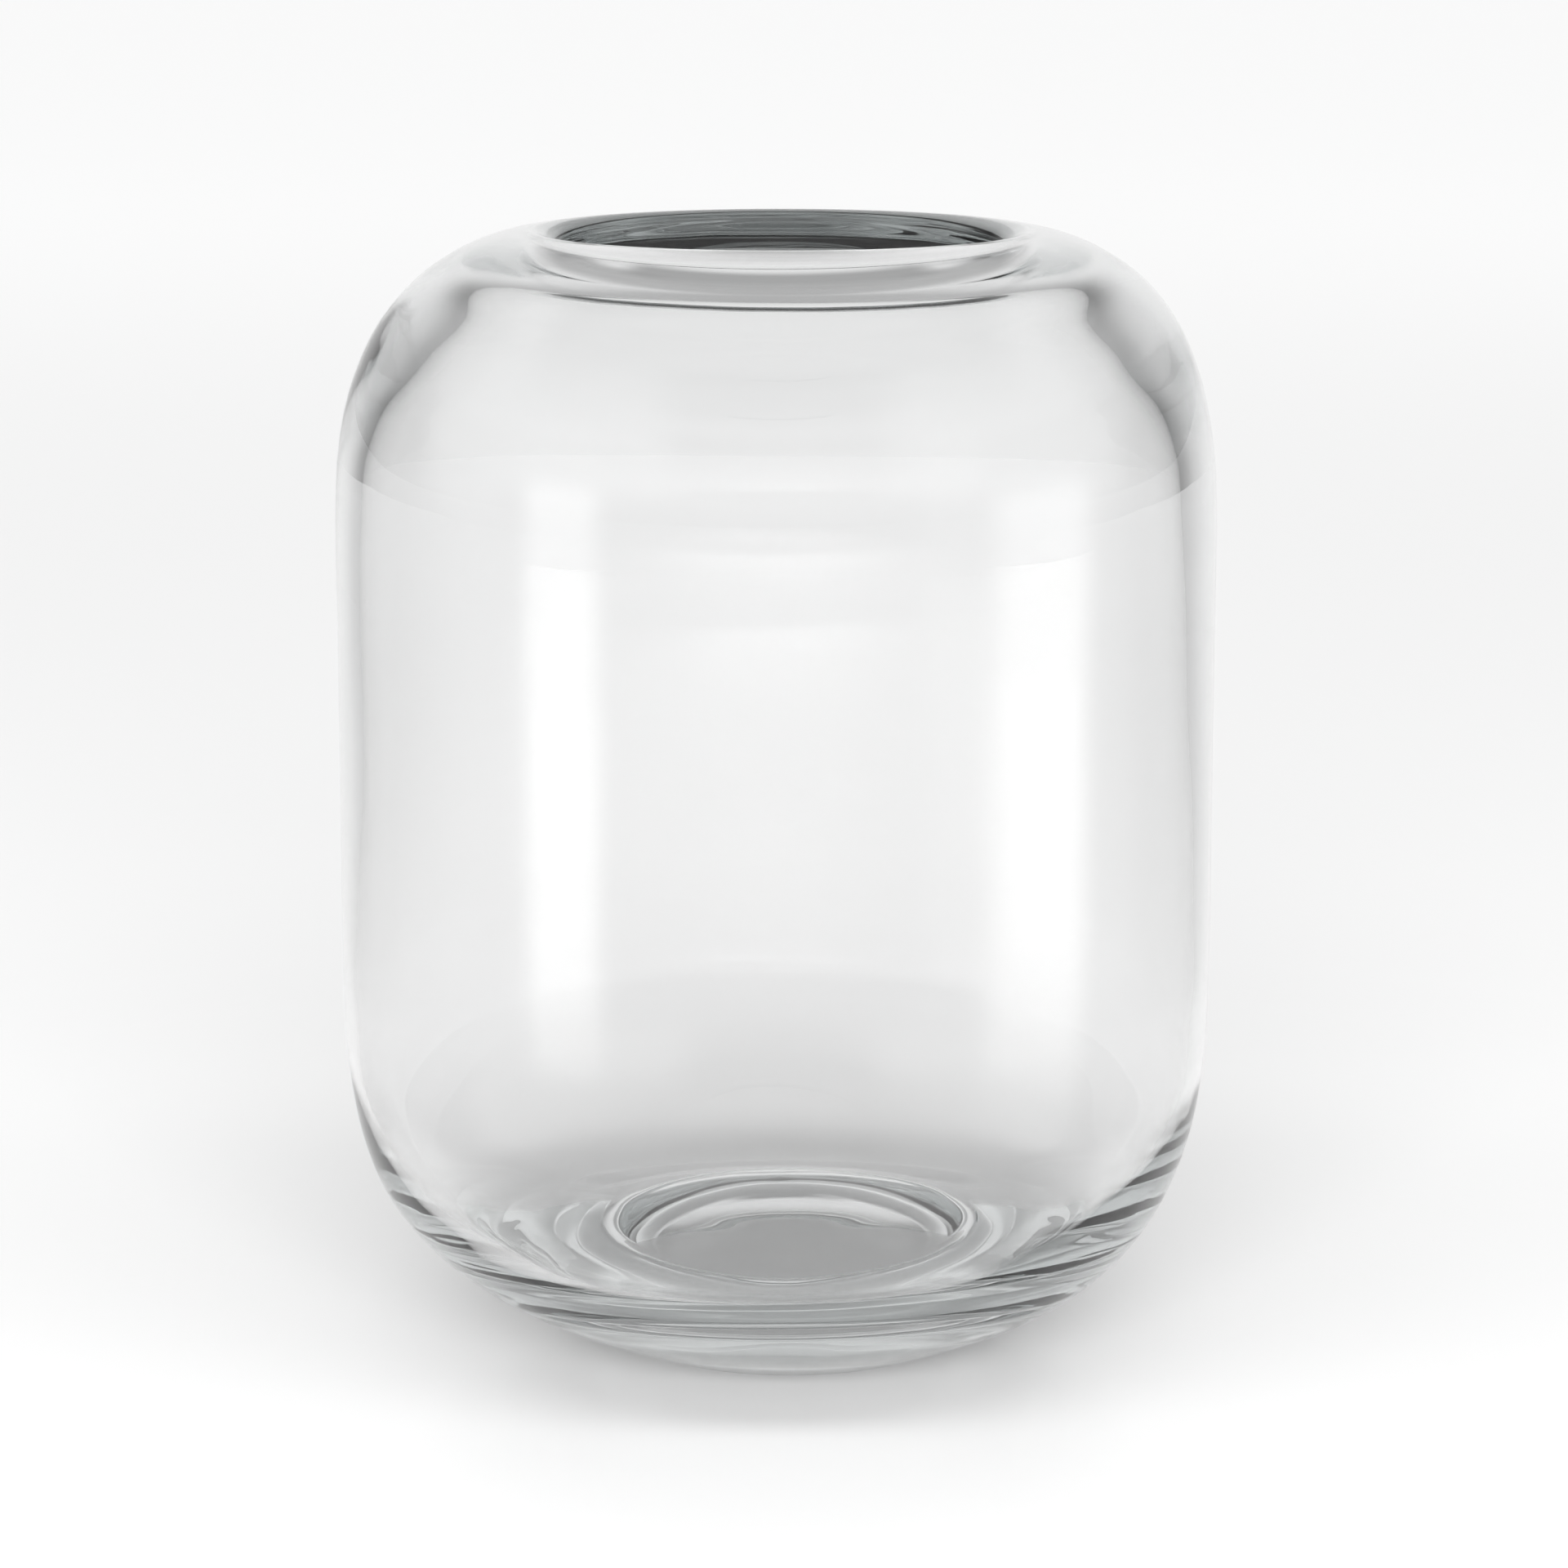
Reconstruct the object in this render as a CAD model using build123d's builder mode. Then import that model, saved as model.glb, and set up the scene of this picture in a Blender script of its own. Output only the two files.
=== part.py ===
from build123d import *
import math
import os

# Thick clear glass cylinder vase, blown in one piece.
# Millimetres, +Z up the vase's axis, origin at the middle of the ring that it stands on.

# Driving dimensions
height = 200.0
outer_diameter = 156.0
mouth_diameter = 80.0           # the narrowest width of the opening
side_bottom = 74.0              # the straight side starts here
side_top = 156.0                # and ends here
foot_wall = 3.4                 # glass low on the side
side_wall = 4.4                 # glass half way up the side
upper_wall = 6.0                # glass where the side meets the shoulder
lip_thickness = 9.2             # the rolled edge of the mouth
floor_height = 18.8             # the inside floor, above the table
mound_height = 8.0              # how far the floor swells up in the middle
mound_radius = 46.0
punt_height = 9.5               # the hollow under the base
punt_radius = 29.0
ring_width = 3.0                # the flat ring around the hollow

# Worked out from those
outer_radius = outer_diameter / 2
lip_radius = lip_thickness / 2
lip_ridge_radius = mouth_diameter / 2 + lip_radius
ring_radius = punt_radius + ring_width
side_middle = (side_bottom + side_top) / 2
mound_top = floor_height + mound_height
punt_curve = (punt_radius**2 + punt_height**2) / (2 * punt_height)
punt_half_way = math.sqrt(punt_curve**2 - (punt_radius / 2) ** 2) - (punt_curve - punt_height)

with BuildPart() as glass_vessel:
    with BuildSketch(Plane.XZ):
        with BuildLine():
            # Underside: a round hollow on the axis, then the flat ring
            punt = ThreePointArc(
                (0, punt_height),
                (punt_radius / 2, punt_half_way),
                (punt_radius, 0),
            )
            ring = Line(punt @ 1, (ring_radius, 0))
            # Outside: a bowl-shaped foot, a straight side and a round shoulder
            foot = Spline(
                ring @ 1,
                (36.0, 1.7),
                (50.5, 8.2),
                (65.2, 19.6),
                (74.9, 38.0),
                (outer_radius, side_bottom),
                tangents=((1, 0.1), (0, 1)),
            )
            side = Line(foot @ 1, (outer_radius, side_top))
            shoulder = Spline(
                side @ 1,
                (70.5, 183.6),
                (55.5, 197.4),
                (lip_ridge_radius, height),
                tangents=((0, 1), (-1, 0)),
            )
            # The rolled lip, round over the top and under its inner edge
            lip = ThreePointArc(
                shoulder @ 1,
                (lip_ridge_radius - lip_radius, height - lip_radius),
                (lip_ridge_radius, height - lip_thickness),
            )
            # Inside: the shoulder, the side and the foot, thinner towards the table
            inner_shoulder = Spline(
                lip @ 1,
                (57.6, 184.7),
                (68.2, 171.0),
                (outer_radius - upper_wall, side_top),
                tangents=((1, 0), (0, -1)),
            )
            inner_side = Spline(
                inner_shoulder @ 1,
                (outer_radius - side_wall, side_middle),
                (outer_radius - foot_wall, side_bottom),
                tangents=((0, -1), (0, -1)),
            )
            inner_foot = Spline(
                inner_side @ 1,
                (71.4, 38.6),
                (60.5, 22.4),
                (mound_radius, floor_height),
                tangents=((0, -1), (-1, 0)),
            )
            # The floor swells into a low mound over the hollow
            mound = Spline(
                inner_foot @ 1,
                (mound_radius * 0.7, floor_height + mound_height * 0.38),
                (mound_radius * 0.45, floor_height + mound_height * 0.75),
                (0, mound_top),
                tangents=((-1, 0), (-1, 0)),
            )
            Line(mound @ 1, punt @ 0)
        make_face()
    revolve(axis=Axis.Z)

glass_vessel.part.label = "glass_vessel"

os.makedirs("parts", exist_ok=True)
export_step(glass_vessel.part, "parts/glass_vessel.step")
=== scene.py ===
import math

import bpy
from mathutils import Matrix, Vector, noise


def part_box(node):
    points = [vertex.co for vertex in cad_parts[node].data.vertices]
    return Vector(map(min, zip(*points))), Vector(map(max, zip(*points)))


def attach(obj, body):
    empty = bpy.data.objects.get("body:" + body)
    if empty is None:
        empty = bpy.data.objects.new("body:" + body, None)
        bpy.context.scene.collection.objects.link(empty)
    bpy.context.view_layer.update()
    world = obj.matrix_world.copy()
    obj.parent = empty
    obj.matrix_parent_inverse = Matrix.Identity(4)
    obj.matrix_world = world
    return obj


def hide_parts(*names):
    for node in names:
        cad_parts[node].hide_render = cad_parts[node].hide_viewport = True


# A thick clear glass cylinder vase on a pale floor, lit by soft panels. Metres.

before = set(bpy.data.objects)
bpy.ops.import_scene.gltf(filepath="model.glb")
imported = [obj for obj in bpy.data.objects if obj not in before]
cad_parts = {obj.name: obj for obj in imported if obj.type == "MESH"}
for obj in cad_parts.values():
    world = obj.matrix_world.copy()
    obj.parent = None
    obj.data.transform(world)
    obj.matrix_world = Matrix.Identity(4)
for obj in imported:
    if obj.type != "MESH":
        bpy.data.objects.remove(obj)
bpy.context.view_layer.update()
NODE = "glass_vessel"
MM = 0.001
low_corner, high_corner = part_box(NODE)
HEIGHT = high_corner[2] - low_corner[2]
RADIUS = (high_corner[0] - low_corner[0]) / 2


# ---------------------------------------------------------------- small tools

def add_object(name, mesh):
    piece = bpy.data.objects.new(name, mesh)
    bpy.context.scene.collection.objects.link(piece)
    return piece


def ease(value, start, stop):
    """0 before start, 1 after stop, smooth between."""
    t = min(1.0, max(0.0, (value - start) / (stop - start)))
    return t * t * (3 - 2 * t)


def curve_through(points, steps):
    """Smooth line through a few points, as a list of points (centripetal Catmull-Rom)."""
    knots = [Vector(p) for p in points]
    knots = [2 * knots[0] - knots[1]] + knots + [2 * knots[-1] - knots[-2]]
    line = []
    for a, b, c, d in zip(knots, knots[1:], knots[2:], knots[3:]):
        t1 = (b - a).length ** 0.5
        t2 = t1 + (c - b).length ** 0.5
        t3 = t2 + (d - c).length ** 0.5
        for step in range(steps):
            t = t1 + (t2 - t1) * step / steps
            ab = a.lerp(b, t / t1)
            bc = b.lerp(c, (t - t1) / (t2 - t1))
            cd = c.lerp(d, (t - t2) / (t3 - t2))
            line.append(ab.lerp(bc, t / t2).lerp(bc.lerp(cd, (t - t1) / (t3 - t1)), (t - t1) / (t2 - t1)))
    return line + [knots[-2]]


def math_node(tree, operation, first, second):
    node = tree.nodes.new("ShaderNodeMath")
    node.operation = operation
    for socket, value in zip(node.inputs, (first, second)):
        if isinstance(value, (int, float)):
            socket.default_value = value
        else:
            tree.links.new(value, socket)
    return node.outputs["Value"]


def ramp_node(tree, value, start, stop, low, high):
    node = tree.nodes.new("ShaderNodeMapRange")
    node.interpolation_type = "SMOOTHERSTEP"
    node.inputs["From Min"].default_value = start
    node.inputs["From Max"].default_value = stop
    node.inputs["To Min"].default_value = low
    node.inputs["To Max"].default_value = high
    tree.links.new(value, node.inputs["Value"])
    return node.outputs["Result"]


def blend_node(tree, share, first, second):
    """The first number where share is 0, the second where it is 1."""
    node = tree.nodes.new("ShaderNodeMix")
    tree.links.new(share, node.inputs[0])
    for socket, value in zip(node.inputs[2:4], (first, second)):
        if isinstance(value, float):
            socket.default_value = value
        else:
            tree.links.new(value, socket)
    return node.outputs[0]


def distance_node(tree, vector, across, along):
    """Distance from the axis, with the two floor directions scaled."""
    scaled = tree.nodes.new("ShaderNodeVectorMath")
    scaled.operation = "MULTIPLY"
    scaled.inputs[1].default_value = (across, along, 0.0)
    tree.links.new(vector, scaled.inputs[0])
    length = tree.nodes.new("ShaderNodeVectorMath")
    length.operation = "LENGTH"
    tree.links.new(scaled.outputs["Vector"], length.inputs[0])
    return length.outputs["Value"]


def mix_node(tree, share, first, second):
    """The first shader where share is 0, the second where it is 1."""
    node = tree.nodes.new("ShaderNodeMixShader")
    tree.links.new(share, node.inputs["Fac"])
    tree.links.new(first, node.inputs[1])
    tree.links.new(second, node.inputs[2])
    return node.outputs["Shader"]


def background_node(tree, strength):
    node = tree.nodes.new("ShaderNodeBackground")
    node.inputs["Color"].default_value = (1.0, 1.0, 1.0, 1.0)
    if isinstance(strength, float):
        node.inputs["Strength"].default_value = strength
    else:
        tree.links.new(strength, node.inputs["Strength"])
    return node.outputs["Background"]


# ---------------------------------------------------------------- the glass

PUNT_RADIUS = 29.0
PUNT_HEIGHT = 9.5
RING_RADIUS = 32.0
LIP_RADIUS = 4.6
RIDGE_RADIUS = 44.6
SEGMENTS = 320
SPAN_STEPS = 6               # mesh rows between two outline points
PUNT_STEPS = 28
LIP_STEPS = 14
BASE_UNEVENNESS = 1.6        # against 1 for the inside wall

# Half outlines in millimetres, (distance from the axis, height)
OUTSIDE = [
    (RING_RADIUS, 0.0), (36.0, 1.7), (42.6, 4.5), (50.5, 8.2), (58.3, 13.2), (65.2, 19.6), (70.8, 27.6),
    (74.9, 38.0), (77.3, 52.0), (78.0, 74.0), (78.0, 100.0), (78.0, 130.0), (78.0, 152.0),
    (77.2, 163.0), (74.9, 173.6), (70.5, 183.6), (63.8, 191.6), (55.5, 197.0), (49.0, 199.3),
    (RIDGE_RADIUS, 200.0),
]
INSIDE = [
    (52.5, 188.6), (57.6, 184.7), (63.2, 178.9), (68.2, 171.0), (71.3, 161.5), (72.5, 150.0), (73.3, 130.0),
    (73.8, 105.0), (74.5, 80.0), (74.7, 62.0), (73.8, 48.0), (71.2, 38.0), (66.8, 29.6), (60.5, 22.6),
    (53.5, 19.7), (46.0, 18.8), (39.0, 19.8), (32.0, 21.8), (26.0, 23.6), (18.0, 25.2), (9.0, 26.4),
    (0.0, 26.8),
]


def half_outline():
    """The closed half section, from the middle of the underside round to the middle of the floor.
    Each point is (radius, height, share of the hand-made unevenness)."""
    punt = [
        (
            PUNT_RADIUS * k / PUNT_STEPS,
            PUNT_HEIGHT * (1 - (k / PUNT_STEPS) ** 2),
            BASE_UNEVENNESS * k / PUNT_STEPS,
        )
        for k in range(PUNT_STEPS)
    ]
    ring = [(r, 0.0, BASE_UNEVENNESS) for r in (PUNT_RADIUS, (PUNT_RADIUS + RING_RADIUS) / 2)]
    outside = [
        (p.x, p.y, BASE_UNEVENNESS * (1 - ease(p.y, 0.0, 12.0)))
        for p in curve_through(OUTSIDE, SPAN_STEPS)
    ]
    lip = []
    for k in range(1, LIP_STEPS):
        turn = math.radians(90 + 165 * k / LIP_STEPS)
        lip.append((
            RIDGE_RADIUS + LIP_RADIUS * math.cos(turn),
            HEIGHT / MM - LIP_RADIUS + LIP_RADIUS * math.sin(turn),
            0.0,
        ))
    start = lip[-1]
    inside = [(p.x, p.y, ease(p.x, 20.0, 60.0)) for p in curve_through([start[:2]] + INSIDE, SPAN_STEPS)][1:]
    return punt + ring + outside + lip + inside


def uneven(angle, height):
    """Hand-blown unevenness of a surface, in millimetres."""
    around = Vector((math.cos(angle) * 1.1, math.sin(angle) * 1.1, height / 60.0))
    return 0.55 * noise.noise(around + Vector((3.1, 7.7, 1.3)))


def sideways(height):
    """The base was pressed a little off the axis, and the mouth less so."""
    foot = 3.3 * (1 - ease(height, -12.0, 34.0))
    mouth = 0.8 * ease(height, 165.0, 200.0)
    return foot + mouth


def glass_mesh():
    outline = half_outline()
    verts, rows, faces = [], [], []
    for radius, height, share in outline:
        shift = sideways(height)
        if radius < 1e-6:
            rows.append([len(verts)])
            verts.append((shift * MM, 0.0, height * MM))
            continue
        rows.append(range(len(verts), len(verts) + SEGMENTS))
        for k in range(SEGMENTS):
            angle = 2 * math.pi * k / SEGMENTS
            r = radius - share * uneven(angle, height)
            verts.append(((r * math.cos(angle) + shift) * MM, r * math.sin(angle) * MM, height * MM))
    for near, far in zip(rows, rows[1:]):
        for k in range(SEGMENTS):
            nxt = (k + 1) % SEGMENTS
            if len(near) == 1:
                faces.append((near[0], far[nxt], far[k]))
            elif len(far) == 1:
                faces.append((near[k], near[nxt], far[0]))
            else:
                faces.append((near[k], near[nxt], far[nxt], far[k]))
    mesh = bpy.data.meshes.new("vase_glass")
    mesh.from_pydata(verts, [], faces)
    mesh.update()
    mesh.polygons.foreach_set("use_smooth", [True] * len(mesh.polygons))
    return mesh


def clear_glass():
    """Neutral soda-lime glass: very smooth, with faint streaks and a trace of grey in the thickness."""
    material = bpy.data.materials.new("clear_glass")
    material.use_nodes = True
    tree = material.node_tree
    tree.nodes.clear()
    output = tree.nodes.new("ShaderNodeOutputMaterial")
    glass = tree.nodes.new("ShaderNodeBsdfPrincipled")
    glass.inputs["Base Color"].default_value = (1.0, 1.0, 1.0, 1.0)
    glass.inputs["IOR"].default_value = 1.52
    glass.inputs["Transmission Weight"].default_value = 1.0
    place = tree.nodes.new("ShaderNodeTexCoord")
    streaks = tree.nodes.new("ShaderNodeTexNoise")
    streaks.inputs["Scale"].default_value = 40.0
    streaks.inputs["Detail"].default_value = 2.0
    stretch = tree.nodes.new("ShaderNodeMapping")
    stretch.inputs["Scale"].default_value = (1.0, 1.0, 0.35)
    tree.links.new(place.outputs["Object"], stretch.inputs["Vector"])
    tree.links.new(stretch.outputs["Vector"], streaks.inputs["Vector"])
    bump = tree.nodes.new("ShaderNodeBump")
    bump.inputs["Strength"].default_value = 0.06
    bump.inputs["Distance"].default_value = 0.001
    tree.links.new(streaks.outputs["Fac"], bump.inputs["Height"])
    tree.links.new(bump.outputs["Normal"], glass.inputs["Normal"])
    polish = tree.nodes.new("ShaderNodeMapRange")
    polish.inputs["To Min"].default_value = 0.0
    polish.inputs["To Max"].default_value = 0.012
    tree.links.new(streaks.outputs["Fac"], polish.inputs["Value"])
    tree.links.new(polish.outputs["Result"], glass.inputs["Roughness"])
    grey = tree.nodes.new("ShaderNodeVolumeAbsorption")
    grey.inputs["Color"].default_value = (0.86, 0.87, 0.87, 1.0)
    grey.inputs["Density"].default_value = 26.0
    tree.links.new(glass.outputs["BSDF"], output.inputs["Surface"])
    tree.links.new(grey.outputs["Volume"], output.inputs["Volume"])
    return material


vessel = add_object("vase_glass", glass_mesh())
vessel.data.materials.append(clear_glass())
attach(vessel, "root")
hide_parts(NODE)


# ---------------------------------------------------------------- floor

FLOOR_GAP = 0.0004          # the ring touches the floor only here and there
FLOOR_RADIUS = 40.0
FADE_START = 0.15           # from here outwards the floor melts into the backdrop
FADE_END = 0.50
FADE_SHARE = 0.25           # how clear it gets
PAINTED_GLOW_END = 3.0              # the floor's painted glow (emission standing in for lamp light) grows up to here
PAINTED_GLOW_NEAR = 0.12
PAINTED_GLOW_FAR = 0.34


def pale_floor():
    """Matt white all over, with a painted glow (emission) that is dim near the vase and grows further out,
    melting evenly into the white backdrop far from the vase.
    """
    material = bpy.data.materials.new("pale_floor")
    material.use_nodes = True
    tree = material.node_tree
    surface = tree.nodes["Principled BSDF"]
    output = tree.nodes["Material Output"]
    surface.inputs["Base Color"].default_value = (0.93, 0.93, 0.93, 1.0)
    surface.inputs["Roughness"].default_value = 0.30
    surface.inputs["Specular IOR Level"].default_value = 0.25
    surface.inputs["Emission Color"].default_value = (1.0, 1.0, 1.0, 1.0)
    place = tree.nodes.new("ShaderNodeTexCoord")
    far = distance_node(tree, place.outputs["Object"], 1.0, 1.0)
    # Painted light: the floor glows by emission, weakly near the vase and more strongly far from it,
    # standing in for even lamp light.
    glow = ramp_node(tree, far, FADE_START, PAINTED_GLOW_END, PAINTED_GLOW_NEAR, PAINTED_GLOW_FAR)
    tree.links.new(glow, surface.inputs["Emission Strength"])
    clear = tree.nodes.new("ShaderNodeBsdfTransparent")
    fade = ramp_node(tree, far, FADE_START, FADE_END, 0.0, FADE_SHARE)
    shown = mix_node(tree, fade, surface.outputs["BSDF"], clear.outputs["BSDF"])
    tree.links.new(shown, output.inputs["Surface"])
    return material


bpy.ops.mesh.primitive_circle_add(
    vertices=96, radius=FLOOR_RADIUS, fill_type="NGON", location=(0.0, 0.0, low_corner[2] - FLOOR_GAP))
floor = bpy.context.object
floor.name = "floor"
floor.data.materials.append(pale_floor())


# ---------------------------------------------------------------- light

SEEN_WHITE = 1.05           # the backdrop as the camera sees it
LIGHT_ON_FLOOR = 0.35       # the room's even light on the floor
BELOW_FLOOR_GAIN = 3.7      # a panel's part below the floor shows through it, so it is brighter


def studio_world():
    """White to the camera, an even dim room to the floor, and to the glass a bright backdrop
    behind, dark wings beside it, and a room of its own in front and above."""
    world = bpy.data.worlds.new("studio")
    bpy.context.scene.world = world
    world.use_nodes = True
    tree = world.node_tree
    tree.nodes.clear()
    output = tree.nodes.new("ShaderNodeOutputWorld")
    direction = tree.nodes.new("ShaderNodeTexCoord")
    split = tree.nodes.new("ShaderNodeSeparateXYZ")
    tree.links.new(direction.outputs["Generated"], split.inputs["Vector"])
    side, back, up = split.outputs["X"], split.outputs["Y"], split.outputs["Z"]
    flank = ramp_node(tree, math_node(tree, "ABSOLUTE", side, 0.0), 0.3, 0.6, 0.28, 0.95)
    overhead = ramp_node(tree, back, -0.1, 0.35, 0.95, 0.42)
    room = blend_node(tree, ramp_node(tree, up, 0.25, 0.40, 0.0, 1.0), 0.62, flank)
    room = blend_node(tree, ramp_node(tree, up, 0.70, 0.85, 0.0, 1.0), room, overhead)
    dark_wing = ramp_node(tree, up, 0.30, 0.60, 0.20, 0.48)
    rear = blend_node(tree, ramp_node(tree, back, 0.70, 0.98, 0.0, 1.0), dark_wing, 0.88)
    leaning = math_node(tree, "MULTIPLY", math_node(tree, "MAXIMUM", up, 0.0), 0.5)
    behind = ramp_node(tree, math_node(tree, "SUBTRACT", back, leaning), 0.0, 0.35, 0.0, 1.0)
    strength = blend_node(tree, behind, room, rear)
    path = tree.nodes.new("ShaderNodeLightPath")
    shown = background_node(tree, strength)
    on_floor = math_node(tree, "GREATER_THAN", path.outputs["Diffuse Depth"], 0.5)
    shown = mix_node(tree, on_floor, shown, background_node(tree, LIGHT_ON_FLOOR))
    shown = mix_node(tree, path.outputs["Is Camera Ray"], shown, background_node(tree, SEEN_WHITE))
    tree.links.new(shown, output.inputs["Surface"])


def soft_panel(name, azimuth, distance, width, bottom, top, strength):
    """An upright glowing panel with soft edges that shows only in the glass.
    Azimuth is in degrees from the viewer's side, positive to the right."""
    turn = math.radians(azimuth)
    centre = Vector((distance * math.sin(turn), -distance * math.cos(turn), 0.0))
    along = Vector((math.cos(turn), math.sin(turn), 0.0)) * width / 2
    up = Vector((0.0, 0.0, 1.0))
    corners = [
        centre - along + up * bottom,
        centre + along + up * bottom,
        centre + along + up * top,
        centre - along + up * top,
    ]
    mesh = bpy.data.meshes.new(name)
    mesh.from_pydata(corners, [], [(0, 1, 2, 3)])
    layer = mesh.uv_layers.new()
    for loop, uv in zip(layer.data, ((0, 0), (1, 0), (1, 1), (0, 1))):
        loop.uv = uv
    material = bpy.data.materials.new(name)
    material.use_nodes = True
    tree = material.node_tree
    tree.nodes.clear()
    output = tree.nodes.new("ShaderNodeOutputMaterial")
    glow = tree.nodes.new("ShaderNodeEmission")
    clear = tree.nodes.new("ShaderNodeBsdfTransparent")
    mix = tree.nodes.new("ShaderNodeMixShader")
    place = tree.nodes.new("ShaderNodeTexCoord")
    level = tree.nodes.new("ShaderNodeSeparateXYZ")
    tree.links.new(place.outputs["Object"], level.inputs["Vector"])
    through_floor = ramp_node(tree, level.outputs["Z"], -0.002, 0.0, BELOW_FLOOR_GAIN * strength, strength)
    tree.links.new(through_floor, glow.inputs["Strength"])
    split = tree.nodes.new("ShaderNodeSeparateXYZ")
    tree.links.new(place.outputs["UV"], split.inputs["Vector"])
    sides = math_node(
        tree, "MULTIPLY",
        ramp_node(tree, split.outputs["X"], 0.0, 0.40, 0.0, 1.0),
        ramp_node(tree, split.outputs["X"], 0.60, 1.0, 1.0, 0.0))
    ends = math_node(
        tree, "MULTIPLY",
        ramp_node(tree, split.outputs["Y"], 0.0, 0.10, 0.0, 1.0),
        ramp_node(tree, split.outputs["Y"], 0.75, 1.0, 1.0, 0.0))
    tree.links.new(math_node(tree, "MULTIPLY", sides, ends), mix.inputs["Fac"])
    tree.links.new(clear.outputs["BSDF"], mix.inputs[1])
    tree.links.new(glow.outputs["Emission"], mix.inputs[2])
    tree.links.new(mix.outputs["Shader"], output.inputs["Surface"])
    mesh.materials.append(material)
    panel = add_object(name, mesh)
    panel.visible_camera = False
    panel.visible_diffuse = False
    panel.visible_transmission = False
    panel.visible_shadow = False


studio_world()
soft_panel("panel_left", -55.0, 1.4, 0.80, -0.36, 0.42, 3.0)
soft_panel("panel_right", 70.0, 1.4, 1.20, -0.80, 0.42, 3.2)


def floor_light(name, place, width, depth, watts):
    """A wide soft light that shapes the vase's shadow on the floor and doesn't show in the glass."""
    light = bpy.data.lights.new(name, "AREA")
    light.shape = "RECTANGLE"
    light.size = width
    light.size_y = depth
    light.energy = watts
    lamp = add_object(name, light)
    lamp.location = place
    lamp.rotation_euler = (-Vector(place)).to_track_quat("-Z", "Y").to_euler()
    lamp.visible_camera = False
    lamp.visible_glossy = False
    lamp.visible_transmission = False


floor_light("front_light", (0.0, -2.2, 0.8), 1.8, 0.8, 62.0)
floor_light("top_light", (0.0, -0.8, 2.0), 3.0, 0.6, 17.0)


# ---------------------------------------------------------------- camera

BASE_ELEVATION = math.radians(17.0)      # the viewer looks down on the base at this angle
MOUTH_ELEVATION = math.radians(4.7)      # and on the mouth at this one
WIDTH_IN_FRAME = 0.5542                  # how much of the picture's width the vase takes

distance = HEIGHT / (math.tan(BASE_ELEVATION) - math.tan(MOUTH_ELEVATION))
eye_height = distance * math.tan(BASE_ELEVATION)
aim_height = HEIGHT / 2
camera_data = bpy.data.cameras.new("camera")
camera_data.sensor_width = 36.0
reach = math.hypot(distance, eye_height - aim_height)
camera_data.lens = camera_data.sensor_width * WIDTH_IN_FRAME * reach / (2 * RADIUS)
camera_data.shift_x = 0.005
camera_data.shift_y = 0.002
camera = add_object("camera", camera_data)
camera.location = (0.0, -distance, eye_height)
pitch = math.atan2(eye_height - aim_height, distance)
camera.rotation_euler = (math.pi / 2 - pitch, 0.0, 0.0)

scene = bpy.context.scene
scene.camera = camera
scene.view_settings.view_transform = "Standard"
scene.cycles.max_bounces = 28
scene.cycles.glossy_bounces = 20
scene.cycles.transmission_bounces = 20
